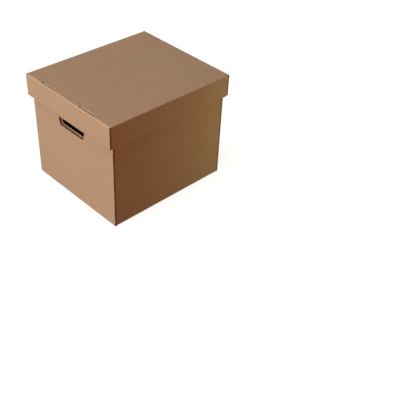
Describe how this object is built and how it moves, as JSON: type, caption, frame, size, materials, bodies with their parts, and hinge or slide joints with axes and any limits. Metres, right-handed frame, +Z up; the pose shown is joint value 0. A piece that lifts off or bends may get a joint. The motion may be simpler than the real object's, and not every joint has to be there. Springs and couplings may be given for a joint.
{
  "type": "cardboard storage box",
  "caption": "Closed corrugated cardboard storage box with a hand hole in each end and a separate telescoping lid that lifts straight off.",
  "frame": {"origin": "middle of the footprint, on the surface that the box stands on", "axes": "+Z up, +X along the box's length towards one hand hole, +Y along its width"},
  "size_m": [0.426, 0.359, 0.3288],
  "materials": {
    "kraft_board": "uncoated matt kraft liner on corrugated board"
  },
  "bodies": {
    "base": {"base_tray": "kraft_board"},
    "lid": {"lid": "kraft_board"}
  },
  "joints": [
    {"name": "lid_lift", "type": "slide", "parent": "base", "child": "lid", "axis": [0, 0, 1], "range_m": [0, 0.07]}
  ]
}
